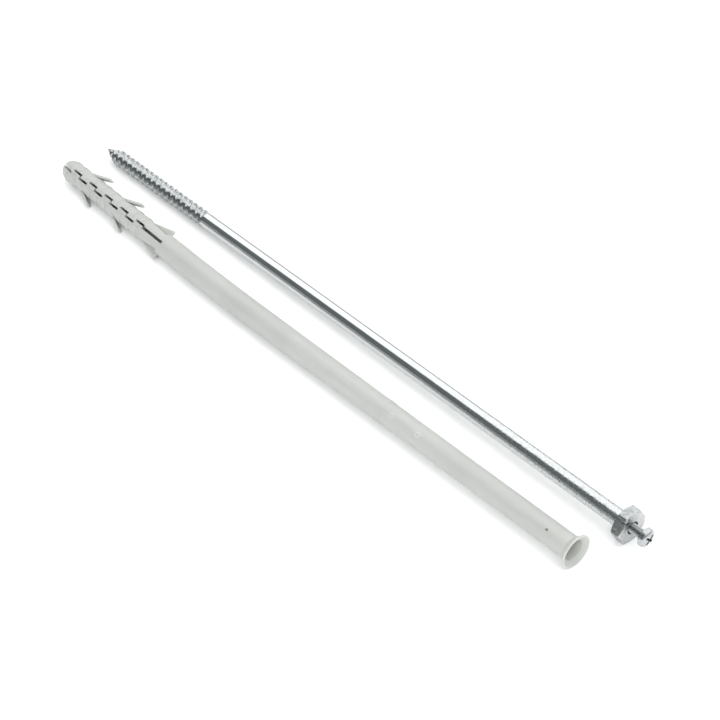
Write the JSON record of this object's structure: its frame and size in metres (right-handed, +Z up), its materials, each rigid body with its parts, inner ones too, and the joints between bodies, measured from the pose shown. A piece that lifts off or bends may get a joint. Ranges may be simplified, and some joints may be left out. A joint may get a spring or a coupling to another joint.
{
  "type": "expansion anchor",
  "caption": "Long frame anchor: a slotted plastic expansion sleeve and its hexagon-head wood screw, lying side by side, with a small machine screw in the tapped hexagon.",
  "frame": {"origin": "middle of the set's outer box in plan, on the floor that both pieces lie on", "axes": "+Z up from the floor; +X along the set's length, from the screw's point towards the machine screw's head; +Y from the sleeve towards the screw"},
  "size_m": [0.3356, 0.0402, 0.0138],
  "materials": {
    "sleeve_nylon": "satin",
    "screw_steel": "bright zinc plate",
    "machine_screw_steel": "bright zinc plate"
  },
  "bodies": {
    "anchor": {"sleeve": "sleeve_nylon", "screw": "screw_steel"},
    "machine_screw": {"machine_screw": "machine_screw_steel"}
  },
  "joints": [
    {"name": "machine_screw_slide", "type": "slide", "parent": "anchor", "child": "machine_screw", "axis": [1, 0, 0.0091], "range_m": [-0.0053, 0.008]}
  ]
}
